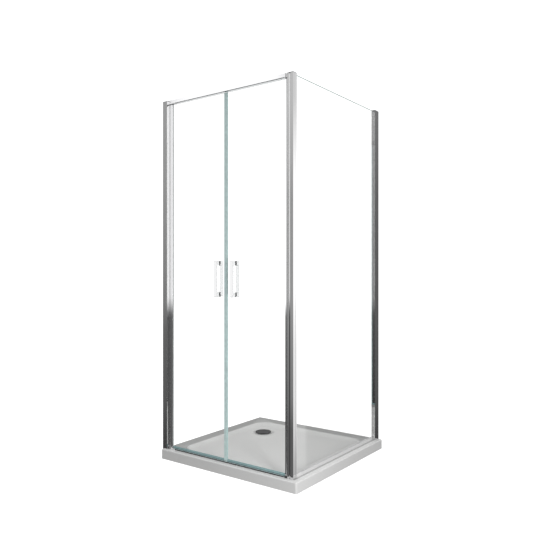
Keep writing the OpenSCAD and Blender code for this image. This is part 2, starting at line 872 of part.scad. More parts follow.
module magnet_seal(reach) {
    x0 = seal_start(reach);
    x1 = glass_end(reach);
    color(soft_seal) translate([0, 0, drip_z]) linear_extrude(glass_top - drip_z) difference() {
        union() {
            translate([x0, -lip_half]) square([x1 - x0 + 1, 2 * lip_half]);
            translate([x1 + 0.8, -nose_t / 2]) square([seal_nose - 0.8, nose_t]);
        }
        translate([x0 - 1, -glass_t / 2]) square([x1 - x0 + 1 + eps, glass_t]);
        translate([x1 + 2, -magnet_half]) square([seal_nose - 3, 2 * magnet_half]);
    }
}

module magnet(reach) {
    x1 = glass_end(reach);
    y = magnet_half - fit;
    color(dark_nylon)
        box_at(x1 + 2 + fit, x1 + seal_nose - 1 - eps, -y, y, drip_z + 1, glass_top - 1);
}

// Handles: flat grip bars with a square foot at each end, clamped together through the glass.
module handle(x, side, stand, washer) {
    y_glass = glass_t / 2 + washer;
    y_face = glass_t / 2 + stand;
    y_bar = y_face - handle_bar_t;
    edge = 2;
    color(chrome) translate([x, 0, handle_z]) scale([1, side, 1]) difference() {
        union() {
            box_at(-half_w, half_w, y_bar, y_face, -handle_len / 2, handle_len / 2);
            for (z = [-foot_z, foot_z]) {
                box_at(-half_w, half_w, y_glass, y_bar + 1, z - half_foot, z + half_foot);
            }
        }
        for (s = [-1, 1]) {
            translate([0, y_glass - 1, s * foot_z]) rotate([-90, 0, 0])
                cylinder(r = stud_r + play, h = stand - washer - 3);
            translate([s * half_w, y_face, 0]) rotate([0, 0, 45])
                cube([edge, edge, handle_len + 2], center = true);
            translate([0, y_face, s * handle_len / 2]) rotate([45, 0, 0])
                cube([handle_w + 2, edge, edge], center = true);
        }
    }
}

module handle_outer(reach) {
    handle(handle_at(reach), -1, outer_reach, outer_washer_t);
}

module handle_inner(reach) {
    handle(handle_at(reach), 1, inner_reach, inner_washer_t);
}

module washer(y0, y1) {
    x = half_w - 0.5;
    z = half_foot - 0.5;
    box_at(-x, x, y0, y1, -z, z);
}

module handle_washers(reach) {
    face = glass_t / 2;
    color(dark_nylon) for (s = [-1, 1]) {
        translate([handle_at(reach), 0, handle_z + s * foot_z]) difference() {
            union() {
                washer(-face - outer_washer_t, -face);
                washer(face, face + inner_washer_t);
                translate([0, -face + 0.2, 0]) rotate([-90, 0, 0])
                    cylinder(d = glass_hole_d - 0.4, h = glass_t + 0.8);
            }
            rotate([90, 0, 0]) cylinder(r = stud_r + play, h = 30, center = true);
        }
    }
}

module handle_studs(reach) {
    y0 = -glass_t / 2 - outer_reach + 4;
    y1 = glass_t / 2 + inner_reach - 4;
    color(steel) for (s = [-1, 1]) {
        translate([handle_at(reach), y0, handle_z + s * foot_z]) rotate([-90, 0, 0])
            cylinder(r = stud_r, h = y1 - y0);
    }
}

tray();
waste_body();
waste_gaskets();
waste_nut();
waste_cup();
waste_cover();
wall_profile_door();
jamb_left();
jamb_right();
corner_post();
header();
threshold();
at_left() top_block();  // top_block_left
at_right() top_block();  // top_block_right
at_left() bottom_block();  // bottom_block_left
at_right() bottom_block();  // bottom_block_right
pivot_bushes();
jamb_screws();
header_screws();
wall_cap_door();
jamb_cap();
corner_cap();
side_glass();
side_glass_gaskets();
side_bottom_rail();
side_profile();
wall_profile_side();
side_profile_screws();
side_cap();
wall_cap_side();
at_left() glass(left_reach);  // left_glass
at_left() pivot_profile();  // left_pivot_profile
at_left() profile_caps();  // left_profile_caps
at_left() pivot_pins();  // left_pivot_pins
at_left() glass_gasket();  // left_glass_gasket
at_left() bottom_seal(left_reach);  // left_bottom_seal
at_left() magnet_seal(left_reach);  // left_magnet_seal
at_left() magnet(left_reach);  // left_magnet
at_left() handle_outer(left_reach);  // left_handle_outer
at_left() handle_inner(left_reach);  // left_handle_inner
at_left() handle_washers(left_reach);  // left_handle_washers
at_left() handle_studs(left_reach);  // left_handle_studs
at_right() glass(right_reach);  // right_glass
at_right() pivot_profile();  // right_pivot_profile
at_right() profile_caps();  // right_profile_caps
at_right() pivot_pins();  // right_pivot_pins
at_right() glass_gasket();  // right_glass_gasket
at_right() bottom_seal(right_reach);  // right_bottom_seal
at_right() magnet_seal(right_reach);  // right_magnet_seal
at_right() magnet(right_reach);  // right_magnet
at_right() handle_outer(right_reach);  // right_handle_outer
at_right() handle_inner(right_reach);  // right_handle_inner
at_right() handle_washers(right_reach);  // right_handle_washers
at_right() handle_studs(right_reach);  // right_handle_studs
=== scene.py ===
import bpy, bmesh, math
from mathutils import Matrix, Vector


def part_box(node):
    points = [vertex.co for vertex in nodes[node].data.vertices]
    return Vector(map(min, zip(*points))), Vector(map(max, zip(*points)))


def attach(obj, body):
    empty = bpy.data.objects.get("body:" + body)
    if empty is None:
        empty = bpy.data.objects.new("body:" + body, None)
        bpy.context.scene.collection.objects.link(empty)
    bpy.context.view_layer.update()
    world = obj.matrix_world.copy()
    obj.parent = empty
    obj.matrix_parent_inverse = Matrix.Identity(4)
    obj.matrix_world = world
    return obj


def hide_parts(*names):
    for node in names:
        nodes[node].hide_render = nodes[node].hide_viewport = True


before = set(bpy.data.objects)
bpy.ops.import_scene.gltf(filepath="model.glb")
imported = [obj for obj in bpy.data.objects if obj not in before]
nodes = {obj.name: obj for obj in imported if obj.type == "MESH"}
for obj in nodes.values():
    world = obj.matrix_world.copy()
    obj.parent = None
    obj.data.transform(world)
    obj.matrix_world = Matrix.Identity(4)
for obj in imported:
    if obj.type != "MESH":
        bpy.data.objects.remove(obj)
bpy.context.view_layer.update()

# Camera. Eye height, level, to the right of the corner post, with a short telephoto lens. The picture is
# square, so the sensor's width is its height too.
EYE = (1.9989, -2.7547, 1.0420)
TURN_LEFT = 36.43
camera_data = bpy.data.cameras.new("camera")
camera_data.lens = 39.877
camera_data.sensor_width = 36.0
camera_data.clip_end = 100.0
camera = bpy.data.objects.new("camera", camera_data)
camera.location = EYE
camera.rotation_euler = (math.radians(90.0), 0.0, math.radians(TURN_LEFT))
bpy.context.scene.collection.objects.link(camera)
bpy.context.scene.camera = camera

# Studio room. The camera sees plain white, also through glass. Polished metal mirrors a room of grey panels,
# which give it its light and dark bands, and a softer grey sky lights what is dull.
WHITE = 1.35
FIRST_BEARING = 85.0
# Grey by elevation: pairs of degrees above the horizon and a level from 0 to 255, as a screen shows it.
ROOM = ((-40, 60), (-4.2, 84), (-2.6, 228), (25, 234), (60, 220))
SOFT_SKY = ((-90, 92), (-5.74, 114), (11.54, 164), (90, 169))
# Panels in front of the room: a name, the bearings at which each begins, is full, starts to fade and ends,
# and its grey by elevation. Bearings are degrees from +X towards +Y; those past 360 lie beyond +X.
PANELS = (
    ("back", (85, 95, 165, 181),
     ((-30, 200), (-14, 212), (-6, 180), (4, 90), (16.4, 90), (17.8, 225), (36, 245), (60, 255))),
    ("left_front", (181, 190, 224.5, 225),
     ((-20, 50), (-15.9, 60), (-12.3, 82), (-5.7, 96), (-2.9, 118), (6.7, 140), (14, 150))),
    ("right_front", (235, 236, 250, 262),
     ((-20, 50), (-15.2, 52), (-12.3, 42), (-2.9, 76), (6.7, 92), (14, 122), (40, 160))),
    ("corner_front", (234, 234.5, 237.5, 240.5),
     ((-22, 80), (-18, 88), (-15, 86), (-12.3, 116), (-7.6, 130), (-2.9, 144), (6.7, 146), (16, 182),
      (40, 200))),
    ("white_front", (223.84, 223.88, 235.17, 235.21),
     ((-30, 50), (-18, 70), (-12, 68), (-7.6, 88), (-4.4, 108), (-3.0, 250), (30, 250), (42, 120),
      (60, 90))),
    ("left_edge", (224.10, 224.14, 224.5, 224.6), ((-30, 225), (60, 245))),
    ("corner_line", (235.385, 235.40, 235.46, 235.475),
     ((-22, 84), (-15, 82), (-12.3, 96), (-7.6, 115), (-4.5, 205), (16, 222))),
    ("right_side", (256, 260, 276, 282), ((-30, 110), (60, 130))),
    ("between", (286, 296, 350, 380), ((-30, 60), (-4.2, 84), (-2.6, 255), (25, 255), (60, 235))),
    ("right", (350, 380, 416.9, 417.3),
     ((-22, 150), (-18, 178), (-15, 208), (-12.3, 222), (-7.6, 230), (-2, 255), (9, 255), (16, 200),
      (60, 180))),
    ("left_of_right", (380, 394, 407, 410),
     ((-22, 60), (-12, 66), (-4.2, 84), (-2.6, 240), (25, 245), (60, 220))),
    ("dark", (416.9, 417.3, 427, 431),
     ((-20, 55), (-15, 66), (-12.3, 78), (-2.9, 86), (6.7, 94), (14, 111), (60, 160))),
)
# Sockets of a Mix node that blends colours.
MIX_FIRST, MIX_SECOND, MIX_RESULT = 6, 7, 2


def shader_node(tree, kind, inputs=(), **properties):
    """Adds a node and sets it; each input is a pair of a socket's name or number and a source or a value."""
    node = tree.nodes.new(kind)
    for key, value in properties.items():
        setattr(node, key, value)
    for socket, source in inputs:
        if isinstance(source, bpy.types.NodeSocket):
            tree.links.new(source, node.inputs[socket])
        else:
            node.inputs[socket].default_value = source
    return node


def calc(tree, operation, *values):
    """Result of a maths node whose values are sockets or numbers."""
    return shader_node(tree, "ShaderNodeMath", enumerate(values), operation=operation).outputs[0]


def spread(tree, value, start, end, at_start=0.0, at_end=1.0):
    """Maps a value from start and end onto two others, and holds it beyond them."""
    inputs = enumerate((value, start, end, at_start, at_end))
    return shader_node(tree, "ShaderNodeMapRange", inputs).outputs[0]


def mix(tree, share, first, second, label=""):
    """Blend of two colours, each a socket or three numbers."""
    first, second = ((*c, 1.0) if isinstance(c, tuple) else c for c in (first, second))
    inputs = (("Factor", share), (MIX_FIRST, first), (MIX_SECOND, second))
    return shader_node(tree, "ShaderNodeMix", inputs, data_type="RGBA", label=label).outputs[MIX_RESULT]


def ramp(tree, value, stops):
    """Colour of a ramp; each stop is a position and a grey or a colour."""
    node = shader_node(tree, "ShaderNodeValToRGB", [(0, value)])
    elements = node.color_ramp.elements
    elements.remove(elements[1])
    elements[0].position = stops[0][0]
    for k, (position, tone) in enumerate(stops):
        element = elements.new(position) if k else elements[0]
        element.color = (*tone, 1.0) if isinstance(tone, tuple) else (tone, tone, tone, 1.0)
    return node.outputs[0]


def linear(level):
    """Light that a screen shows as a level from 0 to 255."""
    share = level / 255.0
    return share / 12.92 if share <= 0.04045 else ((share + 0.055) / 1.055) ** 2.4


world = bpy.data.worlds.new("studio")
bpy.context.scene.world = world
bpy.context.scene.view_settings.view_transform = "Standard"
world.use_nodes = True
sky = world.node_tree
sky.nodes.clear()
ray = shader_node(sky, "ShaderNodeTexCoord").outputs["Generated"]
ray_parts = shader_node(sky, "ShaderNodeSeparateXYZ", [(0, ray)]).outputs
ray_height = calc(sky, "MULTIPLY_ADD", ray_parts["Z"], 0.5, 0.5)
ray_turn = calc(sky, "DEGREES", calc(sky, "ARCTAN2", ray_parts["Y"], ray_parts["X"]))
bearing = calc(sky, "WRAP", ray_turn, FIRST_BEARING + 360.0, FIRST_BEARING)


def by_elevation(levels):
    """Grey that changes with the elevation at which a ray leaves."""
    stops = [(0.5 + 0.5 * math.sin(math.radians(degrees)), linear(level)) for degrees, level in levels]
    return ramp(sky, ray_height, stops)


room = by_elevation(ROOM)
for label, (begins, full, fades, ends), levels in PANELS:
    rise = spread(sky, bearing, begins, full)
    fall = spread(sky, bearing, fades, ends, 1.0, 0.0)
    room = mix(sky, calc(sky, "MULTIPLY", rise, fall), room, by_elevation(levels), label)
paths = shader_node(sky, "ShaderNodeLightPath").outputs
mirrored = calc(sky, "MINIMUM", paths["Glossy Depth"], 1.0)
scattered = calc(sky, "MINIMUM", paths["Diffuse Depth"], 1.0)
seen = mix(sky, mirrored, (1.0, 1.0, 1.0), room)
seen = mix(sky, scattered, seen, by_elevation(SOFT_SKY))
background = shader_node(sky, "ShaderNodeBackground", [("Color", seen), ("Strength", WHITE)])
shader_node(sky, "ShaderNodeOutputWorld", [("Surface", background.outputs[0])])

# Studio floor and key light. The floor is a pale sheet that the camera sees and the metal doesn't. The light
# is a soft disk, low at the right, which brightens the side of the tray and isn't mirrored either.
FLOOR_HALF, FLOOR_Z = 12.0, -0.0015
KEY_SIZE, KEY_POWER = 0.5, 21.0
KEY_PLACE = (1.95, -1.35, 0.62)
KEY_SHINES_FROM = (1.55, -0.95, 0.5)


def new_material(name):
    """A material with its node tree and its shader."""
    material = bpy.data.materials.new(name)
    material.use_nodes = True
    tree = material.node_tree
    return material, tree, tree.nodes["Principled BSDF"]


sheet = bmesh.new()
bmesh.ops.create_grid(sheet, x_segments=1, y_segments=1, size=FLOOR_HALF)
bmesh.ops.translate(sheet, verts=sheet.verts, vec=(0.0, 0.0, FLOOR_Z))
floor_mesh = bpy.data.meshes.new("studio_floor")
sheet.to_mesh(floor_mesh)
sheet.free()
floor = bpy.data.objects.new("studio_floor", floor_mesh)
bpy.context.scene.collection.objects.link(floor)
paper, _, paper_shader = new_material("studio_paper")
paper_shader.inputs["Base Color"].default_value = (0.0, 0.0, 0.0, 1.0)
paper_shader.inputs["Specular IOR Level"].default_value = 0.0
paper_shader.inputs["Emission Color"].default_value = (1.0, 1.0, 1.0, 1.0)
paper_shader.inputs["Emission Strength"].default_value = WHITE
floor_mesh.materials.append(paper)
floor.visible_glossy = False
floor.visible_diffuse = False
floor.visible_shadow = False
floor.visible_transmission = False

key_data = bpy.data.lights.new("key", "AREA")
key_data.shape = "DISK"
key_data.size = KEY_SIZE
key_data.energy = KEY_POWER
key = bpy.data.objects.new("key", key_data)
key.location = KEY_PLACE
key.rotation_euler = Vector(KEY_SHINES_FROM).to_track_quat("Z", "Y").to_euler()
key.visible_glossy = False
bpy.context.scene.collection.objects.link(key)

# Upright bars. The channels on the two walls, the jambs, the corner post and the side profile. Aluminium
# extrusions, polished and anodised, cut to length and screwed together; fine lines run along each bar.
ALONG_Z = (240.0, 240.0, 1.5)
LINE_DEPTH = 0.0002
SHARP_ANGLE, FLAT_ANGLE = 35.0, 0.4
MERGE = 1e-6


def noise(tree, vector, scale, detail=2.0):
    """Value of a noise pattern."""
    inputs = (("Vector", vector), ("Scale", scale), ("Detail", detail))
    return shader_node(tree, "ShaderNodeTexNoise", inputs).outputs["Fac"]


def relief(tree, shader, height, strength, depth):
    """Adds a relief to a shader's normal; its depth is in metres."""
    inputs = (("Height", height), ("Strength", strength), ("Distance", depth))
    tree.links.new(shader_node(tree, "ShaderNodeBump", inputs).outputs[0], shader.inputs["Normal"])


def fine_lines_group():
    """Lines of a drawn or ground surface, along the axis of the smallest Stretch: roughness and height."""
    tree = bpy.data.node_groups.new("fine_lines", "ShaderNodeTree")
    for name, kind, way in (("Stretch", "Vector", "INPUT"), ("Low", "Float", "INPUT"),
                            ("High", "Float", "INPUT"), ("Roughness", "Float", "OUTPUT"),
                            ("Height", "Float", "OUTPUT")):
        tree.interface.new_socket(name, in_out=way, socket_type="NodeSocket" + kind)
    given = shader_node(tree, "NodeGroupInput").outputs
    place = shader_node(tree, "ShaderNodeTexCoord").outputs["Object"]
    stretched = shader_node(tree, "ShaderNodeVectorMath", [(0, place), (1, given["Stretch"])],
                            operation="MULTIPLY").outputs[0]
    lines = noise(tree, stretched, 1.0, detail=3.0)
    smears = noise(tree, place, 9.0)
    roughness = spread(tree, calc(tree, "MULTIPLY", lines, smears), 0.12, 0.42, given["Low"], given["High"])
    shader_node(tree, "NodeGroupOutput", [("Roughness", roughness), ("Height", lines)])
    return tree


fine_lines = fine_lines_group()


def bright_metal(name, colour, smooth, rough, stretch, strength, metallic=1.0):
    """Metal with fine lines; its roughness runs from smooth to rough, and strength is its relief's."""
    material, tree, shader = new_material(name)
    shader.inputs["Metallic"].default_value = metallic
    shader.inputs["Base Color"].default_value = (*colour, 1.0)
    lines = shader_node(tree, "ShaderNodeGroup", node_tree=fine_lines)
    for socket, value in (("Stretch", stretch), ("Low", smooth), ("High", rough)):
        lines.inputs[socket].default_value = value
    tree.links.new(lines.outputs["Roughness"], shader.inputs["Roughness"])
    relief(tree, shader, lines.outputs["Height"], strength, LINE_DEPTH)
    return material


def soften(bm, edges, width, segments, clamp=False):
    """Rounds edges with a small bevel."""
    bmesh.ops.bevel(bm, geom=edges, offset=width, offset_type="OFFSET", segments=segments, profile=0.5,
                    affect="EDGES", clamp_overlap=clamp, material=-1)


def finish_piece(name, bm, material, body, replaced=(), sharp_angle=SHARP_ANGLE):
    """Makes a piece of a mesh: it rides on a body and stands for the CAD nodes in replaced."""
    for face in bm.faces:
        face.smooth = True
    mesh = bpy.data.meshes.new(name)
    bm.to_mesh(mesh)
    bm.free()
    mesh.set_sharp_from_angle(angle=math.radians(sharp_angle))
    mesh.materials.append(material)
    piece = bpy.data.objects.new(name, mesh)
    bpy.context.scene.collection.objects.link(piece)
    flatten = piece.modifiers.new("flat_faces_stay_flat", "WEIGHTED_NORMAL")
    flatten.mode = "FACE_AREA"
    flatten.weight = 100
    flatten.keep_sharp = True
    if replaced:
        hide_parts(*replaced)
    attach(piece, body)
    return piece


def dress(name, material, body, edge=0.0, segments=2):
    """A finished copy of a CAD node: flat faces made whole, sharp edges broken, curves shaded smooth."""
    bm = bmesh.new()
    bm.from_mesh(nodes[name].data)
    bmesh.ops.remove_doubles(bm, verts=bm.verts, dist=MERGE)
    bmesh.ops.dissolve_limit(bm, angle_limit=math.radians(FLAT_ANGLE), verts=bm.verts, edges=bm.edges,
                             delimit={"NORMAL"})
    if edge:
        sharp = [e for e in bm.edges
                 if len(e.link_faces) == 2 and e.calc_face_angle(0.0) > math.radians(SHARP_ANGLE)]
        soften(bm, sharp, edge, segments, clamp=True)
    return finish_piece(name + "_finished", bm, material, body, (name,))


polished = bright_metal("polished_aluminium", (0.76, 0.76, 0.762), 0.012, 0.025, ALONG_Z, 0.002)
for name in ("wall_profile_door", "jamb_left", "jamb_right", "corner_post", "side_profile",
             "wall_profile_side"):
    dress(name, polished, "enclosure", edge=0.0006)

# Stiles. The round bars on which the leaves turn. Aluminium extrusions of a brighter polish, with a jaw that
# holds the edge of the glass; each turns in the hollow face of its jamb.
bright = bright_metal("bright_aluminium", (0.84, 0.84, 0.85), 0.012, 0.025, ALONG_Z, 0.002)
for side in ("left", "right"):
    dress(side + "_pivot_profile", bright, side + "_door", edge=0.0004)

# Header and threshold. Extruded aluminium: a hollow rail over the top blocks, and a channel, open below, from
# one bottom block to the other. Lines run along both, and their finish is a little duller than the posts'.
ALONG_X = (1.5, 240.0, 240.0)
bright_across = bright_metal("bright_aluminium_across", (0.82, 0.82, 0.83), 0.07, 0.12, ALONG_X, 0.01)
for name, edge in (("header", 0.0010), ("threshold", 0.0005)):
    dress(name, bright_across, "enclosure", edge=edge)

# Painted shade strips. Thin black blocks in the black rubber material, at the foot of the header's front and
# along the front of the threshold, where the step and the gap are in shade. They show as the dark lines above
# and below the leaves.
SHADE_STRIP_DEPTH, SHADE_STRIP_EDGE = 0.0008, 0.0002
HEADER_SHADE_HEIGHT, SILL_SHADE_HEIGHT = 0.0025, 0.0058
GRAIN_DEPTH = 0.0003


def moulded(name, colour, smooth, rough, scale=220.0, **settings):
    """Moulded plastic or rubber with slightly uneven colour and a fine grain; settings go to the shader."""
    material, tree, shader = new_material(name)
    place = shader_node(tree, "ShaderNodeTexCoord").outputs["Object"]
    grain = noise(tree, place, scale, detail=3.0)
    dark = tuple(0.9 * c for c in colour)
    light = tuple(min(1.0, 1.08 * c) for c in colour)
    tree.links.new(ramp(tree, grain, [(0.3, dark), (0.7, light)]), shader.inputs["Base Color"])
    tree.links.new(ramp(tree, grain, [(0.3, smooth), (0.7, rough)]), shader.inputs["Roughness"])
    relief(tree, shader, grain, 0.08, GRAIN_DEPTH)
    for socket, value in settings.items():
        shader.inputs[socket.replace("_", " ")].default_value = value
    return material


def block(bm, size, middle):
    """Adds a block around its middle."""
    verts = bmesh.ops.create_cube(bm, size=1.0)["verts"]
    bmesh.ops.scale(bm, verts=verts, vec=size)
    bmesh.ops.translate(bm, verts=verts, vec=middle)


black_rubber = moulded("black_rubber", (0.030, 0.033, 0.033), 0.55, 0.7)
left_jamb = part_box("jamb_left")[1][0]
right_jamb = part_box("jamb_right")[0][0]
header_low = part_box("header")[0]
sill_low, sill_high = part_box("threshold")
# Each strip is painted shade: a dark block where there is only the shade of a groove or gap.
for name, start, end, y, z, height in (
        ("header_painted_shade", left_jamb + 0.0429, right_jamb - 0.0174,
         header_low[1] + 0.0006, header_low[2] + 0.0013, HEADER_SHADE_HEIGHT),
        ("sill_painted_shade", left_jamb + 0.0449, right_jamb - 0.0014,
         sill_low[1] - 0.0003, sill_high[2] - 0.0034, SILL_SHADE_HEIGHT)):
    strip = bmesh.new()
    block(strip, (end - start, SHADE_STRIP_DEPTH, height), ((start + end) / 2, y, z))
    soften(strip, strip.edges[:], SHADE_STRIP_EDGE, 2)
    finish_piece(name, strip, black_rubber, "enclosure")

# Side rail. The bar under the fixed glass. An aluminium extrusion with a satin silver finish, which looks
# paler than the polished bars; it lies on the tray's rim between the corner post and the side profile.
ALONG_Y = (240.0, 1.5, 240.0)
satin_silver = bright_metal("satin_silver", (0.80, 0.80, 0.80), 0.38, 0.50, ALONG_Y, 0.01, metallic=0.15)
dress("side_bottom_rail", satin_silver, "enclosure", edge=0.0005)

# Tray shell. White acrylic sheet formed over a mould: an apron, a flat rim, a cove round the floor, and a
# shallow dish that leads water into the recess of the waste. Apron and rim are glossy, the basin is matt.
tray_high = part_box("tray")[1]
waste_low, waste_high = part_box("waste_body")
DRAIN = Vector(((waste_low[0] + waste_high[0]) / 2, (waste_low[1] + waste_high[1]) / 2, 0.0))
TRAY_HALF, TRAY_TOP, TRAY_CORNER = tray_high[0], tray_high[2], 0.0095
RIM_WIDTH, RIM_ROUNDING = 0.072, 0.0045
COVE_WIDTH, COVE_DROP, COVE_STEPS = 0.055, 0.013, 10
BASIN_CORNER, CORNER_SEGMENTS = 0.095, 16
BASIN_FLOOR = TRAY_TOP - COVE_DROP
DISH_R, DISH_Z = 0.085, 0.036
RECESS_R, RECESS_Z = 0.062, 0.032
OUTLET_R, OUTLET_Z = 0.031, 0.0245
WALL, DRAFT, UNDERSIDE = 0.008, 0.0005, 0.024
# Painted shade and painted light: the rim is painted darker inside the glass and lighter past it, for how the
# light falls there.
RIM_PAINTED_SHADE, RIM_PAINTED_LIGHT = (0.52, 0.52, 0.515), (0.985, 0.985, 0.98)
# Each tone gives way to the next between two places: down the cove, up to the rim, where the painted shade
# begins, and out past the glass, where the painted light begins.
MATT_LINE = (TRAY_TOP - 0.0020, BASIN_FLOOR + 0.0025)
TOP_LINE = (TRAY_TOP - 0.0015, TRAY_TOP - 0.0002)
GLASS_LINE = (TRAY_HALF - 0.034, TRAY_HALF - 0.026)
APRON_LINE = TRAY_HALF - 0.050


def white_acrylic():
    """Glossy white sheet, matt and grained in the basin, with painted shade on the rim inside the glass and
    painted light on the rim past it.
    """
    material, tree, shader = new_material("white_acrylic")
    place = shader_node(tree, "ShaderNodeTexCoord").outputs["Object"]
    at = shader_node(tree, "ShaderNodeSeparateXYZ", [(0, place)]).outputs
    reach = calc(tree, "MAXIMUM", calc(tree, "ABSOLUTE", at["X"]), calc(tree, "ABSOLUTE", at["Y"]))
    inside = calc(tree, "LESS_THAN", reach, APRON_LINE)
    basin_part = calc(tree, "MULTIPLY", spread(tree, at["Z"], *MATT_LINE), inside)
    on_top = spread(tree, at["Z"], *TOP_LINE)
    past_glass = calc(tree, "MAXIMUM", calc(tree, "MULTIPLY", at["Y"], -1.0), at["X"])
    painted_light_part = calc(tree, "MULTIPLY", spread(tree, past_glass, *GLASS_LINE), on_top)
    cloud = noise(tree, place, 5.0, detail=4.0)
    gloss_tone = ramp(tree, cloud, [(0.3, (0.77, 0.77, 0.765)), (0.7, (0.80, 0.80, 0.795))])
    matt_tone = ramp(tree, cloud, [(0.3, (0.87, 0.87, 0.86)), (0.7, (0.90, 0.90, 0.89))])
    # Painted shade on the rim top, then painted light where the rim lies past the glass.
    tone = mix(tree, on_top, gloss_tone, RIM_PAINTED_SHADE)
    tone = mix(tree, painted_light_part, tone, RIM_PAINTED_LIGHT)
    tree.links.new(mix(tree, basin_part, tone, matt_tone), shader.inputs["Base Color"])
    tree.links.new(spread(tree, basin_part, 0.0, 1.0, 0.18, 0.58), shader.inputs["Roughness"])
    grain = calc(tree, "MULTIPLY", noise(tree, place, 400.0, detail=3.0), basin_part)
    relief(tree, shader, grain, 0.05, 0.0004)
    return material


def rounded_block(bm, half, corner):
    """Makes a square block as high as the tray, with rounded upright corners."""
    block(bm, (2 * half, 2 * half, TRAY_TOP), (0, 0, TRAY_TOP / 2))
    upright = [e for e in bm.edges if abs(e.verts[0].co.z - e.verts[1].co.z) > TRAY_TOP / 2]
    soften(bm, upright, corner, CORNER_SEGMENTS)


def top_face(bm):
    """The highest face, and the largest of those."""
    return max(bm.faces, key=lambda face: (face.calc_center_median().z, face.calc_area()))


def step_ring(bm, edges, radius, z):
    """Extrudes a round loop about the drain to a new radius and height; returns its edges."""
    made = bmesh.ops.extrude_edge_only(bm, edges=edges)
    verts = [g for g in made["geom"] if isinstance(g, bmesh.types.BMVert)]
    now = (verts[0].co - DRAIN).to_2d().length
    bmesh.ops.scale(bm, verts=verts, vec=(radius / now, radius / now, 1.0), space=Matrix.Translation(-DRAIN))
    bmesh.ops.translate(bm, verts=verts, vec=(0, 0, z - verts[0].co.z))
    edges = [g for g in made["geom"] if isinstance(g, bmesh.types.BMEdge)]
    return [e for e in edges if all(v in verts for v in e.verts)]


# The basin hangs from its rim: the cove sinks in steps along an arc, and rings lead from floor to waste.
basin = bmesh.new()
rounded_block(basin, TRAY_HALF - RIM_WIDTH, BASIN_CORNER)
lid = top_face(basin)
bmesh.ops.delete(basin, geom=[face for face in basin.faces if face is not lid], context="FACES")
lid = basin.faces[:][0]
cove_r = (COVE_WIDTH ** 2 + COVE_DROP ** 2) / (2 * COVE_DROP)
past = 0.0
for k in range(1, COVE_STEPS + 1):
    left = COVE_WIDTH * (1 - k / COVE_STEPS)
    depth = COVE_DROP - (cove_r - math.sqrt(cove_r ** 2 - left ** 2))
    bmesh.ops.inset_region(basin, faces=[lid], thickness=COVE_WIDTH / COVE_STEPS, depth=past - depth,
                           use_even_offset=True, use_boundary=True)
    past = depth
floor_loop = list(lid.edges)
bmesh.ops.delete(basin, geom=[lid], context="FACES_ONLY")
ring = bmesh.ops.create_circle(basin, cap_ends=False, radius=DISH_R, segments=len(floor_loop))["verts"]
bmesh.ops.translate(basin, verts=ring, vec=DRAIN + Vector((0, 0, BASIN_FLOOR)))
ring_edges = [e for e in basin.edges if all(v in ring for v in e.verts)]
bmesh.ops.bridge_loops(basin, edges=floor_loop + ring_edges)
for radius, z in ((DISH_R - 0.0015, BASIN_FLOOR - 0.0005), (RECESS_R + 0.002, DISH_Z + 0.0002),
                  (RECESS_R, DISH_Z - 0.0012), (RECESS_R - 0.0008, RECESS_Z + 0.001),
                  (RECESS_R - 0.002, RECESS_Z), (OUTLET_R, RECESS_Z), (OUTLET_R, OUTLET_Z)):
    ring_edges = step_ring(basin, ring_edges, radius, z)
basin_mesh = bpy.data.meshes.new("basin")
basin.to_mesh(basin_mesh)
basin.free()

acrylic = white_acrylic()
shell = bmesh.new()
rounded_block(shell, TRAY_HALF, TRAY_CORNER)
soften(shell, list(top_face(shell).edges), RIM_ROUNDING, 4)
bmesh.ops.delete(shell, geom=[top_face(shell)], context="FACES_ONLY")
shell.from_mesh(basin_mesh)
bpy.data.meshes.remove(basin_mesh)
rims = [e for e in shell.edges if e.is_boundary and abs(e.verts[0].co.z - TRAY_TOP) < 1e-4]
bmesh.ops.bridge_loops(shell, edges=rims)
bottom = min((face for face in shell.faces if len(face.verts) > CORNER_SEGMENTS),
             key=lambda face: face.calc_center_median().z)
bmesh.ops.inset_region(shell, faces=[bottom], thickness=WALL, use_even_offset=True)
bmesh.ops.inset_region(shell, faces=[bottom], thickness=DRAFT, depth=-UNDERSIDE, use_even_offset=True)
bmesh.ops.recalc_face_normals(shell, faces=shell.faces)
finish_piece("tray_shell", shell, acrylic, "enclosure", ("tray",), sharp_angle=28.0)

# Tray ribs. A grid moulded under the sheet, five ribs each way between the walls of the apron; the tray
# stands on them and on the foot of its apron.
RIBS, RIB_THICK, RIB_HEIGHT = 5, 0.005, 0.0255
RIB_LENGTH = 2 * (TRAY_HALF - WALL)
grid = bmesh.new()
for k in range(1, RIBS + 1):
    at = RIB_LENGTH * (k / (RIBS + 1) - 0.5)
    block(grid, (RIB_THICK, RIB_LENGTH, RIB_HEIGHT), (at, 0, RIB_HEIGHT / 2))
    block(grid, (RIB_LENGTH, RIB_THICK, RIB_HEIGHT), (0, at, RIB_HEIGHT / 2))
finish_piece("tray_ribs", grid, acrylic, "enclosure")

# Drain cover. A turned and plated disk, slightly domed, on a stem and four short feet. It lifts out by hand
# with the cup below it.
COVER_OUTLINE = ((0.0, 0.0450), (0.020, 0.0447), (0.034, 0.0438), (0.044, 0.0427), (0.0472, 0.0419),
                 (0.0486, 0.0406), (0.0489, 0.0394), (0.0482, 0.0388), (0.0440, 0.0388), (0.0, 0.0388))
STEM_R, STEM_LENGTH, STEM_MIDDLE = 0.003, 0.020, 0.0285
FEET, FOOT_R, FOOT_LENGTH, FOOT_MIDDLE, FOOT_OUT = 4, 0.003, 0.003, 0.0374, 0.036


def rod(bm, radius, length, middle, segments):
    """Adds an upright rod around its middle."""
    made = bmesh.ops.create_cone(bm, cap_ends=True, segments=segments, radius1=radius, radius2=radius,
                                 depth=length)
    bmesh.ops.translate(bm, verts=made["verts"], vec=middle)


